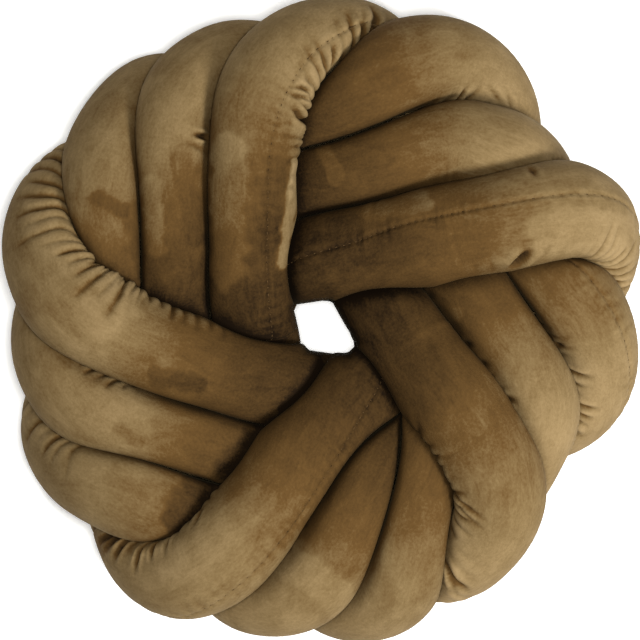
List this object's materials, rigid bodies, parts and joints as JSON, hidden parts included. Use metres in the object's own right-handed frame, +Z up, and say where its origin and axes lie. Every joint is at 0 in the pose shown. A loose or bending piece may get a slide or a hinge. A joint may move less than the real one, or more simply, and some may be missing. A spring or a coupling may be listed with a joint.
{
  "type": "knot cushion",
  "caption": "Round knot cushion: a long filled velvet tube, seamed along its length and tied into a flat ring of crossing bands around a small gap.",
  "frame": {"origin": "on the surface that the cushion rests on, under the middle of the whole cushion", "axes": "+Z up, out of the cushion's face; +X and +Y lie in the face, +Y towards the top of the picture"},
  "size_m": [0.4494, 0.4566, 0.1566],
  "materials": {
    "velvet": "short-pile velvet in olive brown, with a soft sheen and brushed, lighter and darker patches"
  },
  "bodies": {
    "root": {"knot_tube": "velvet"}
  },
  "joints": []
}
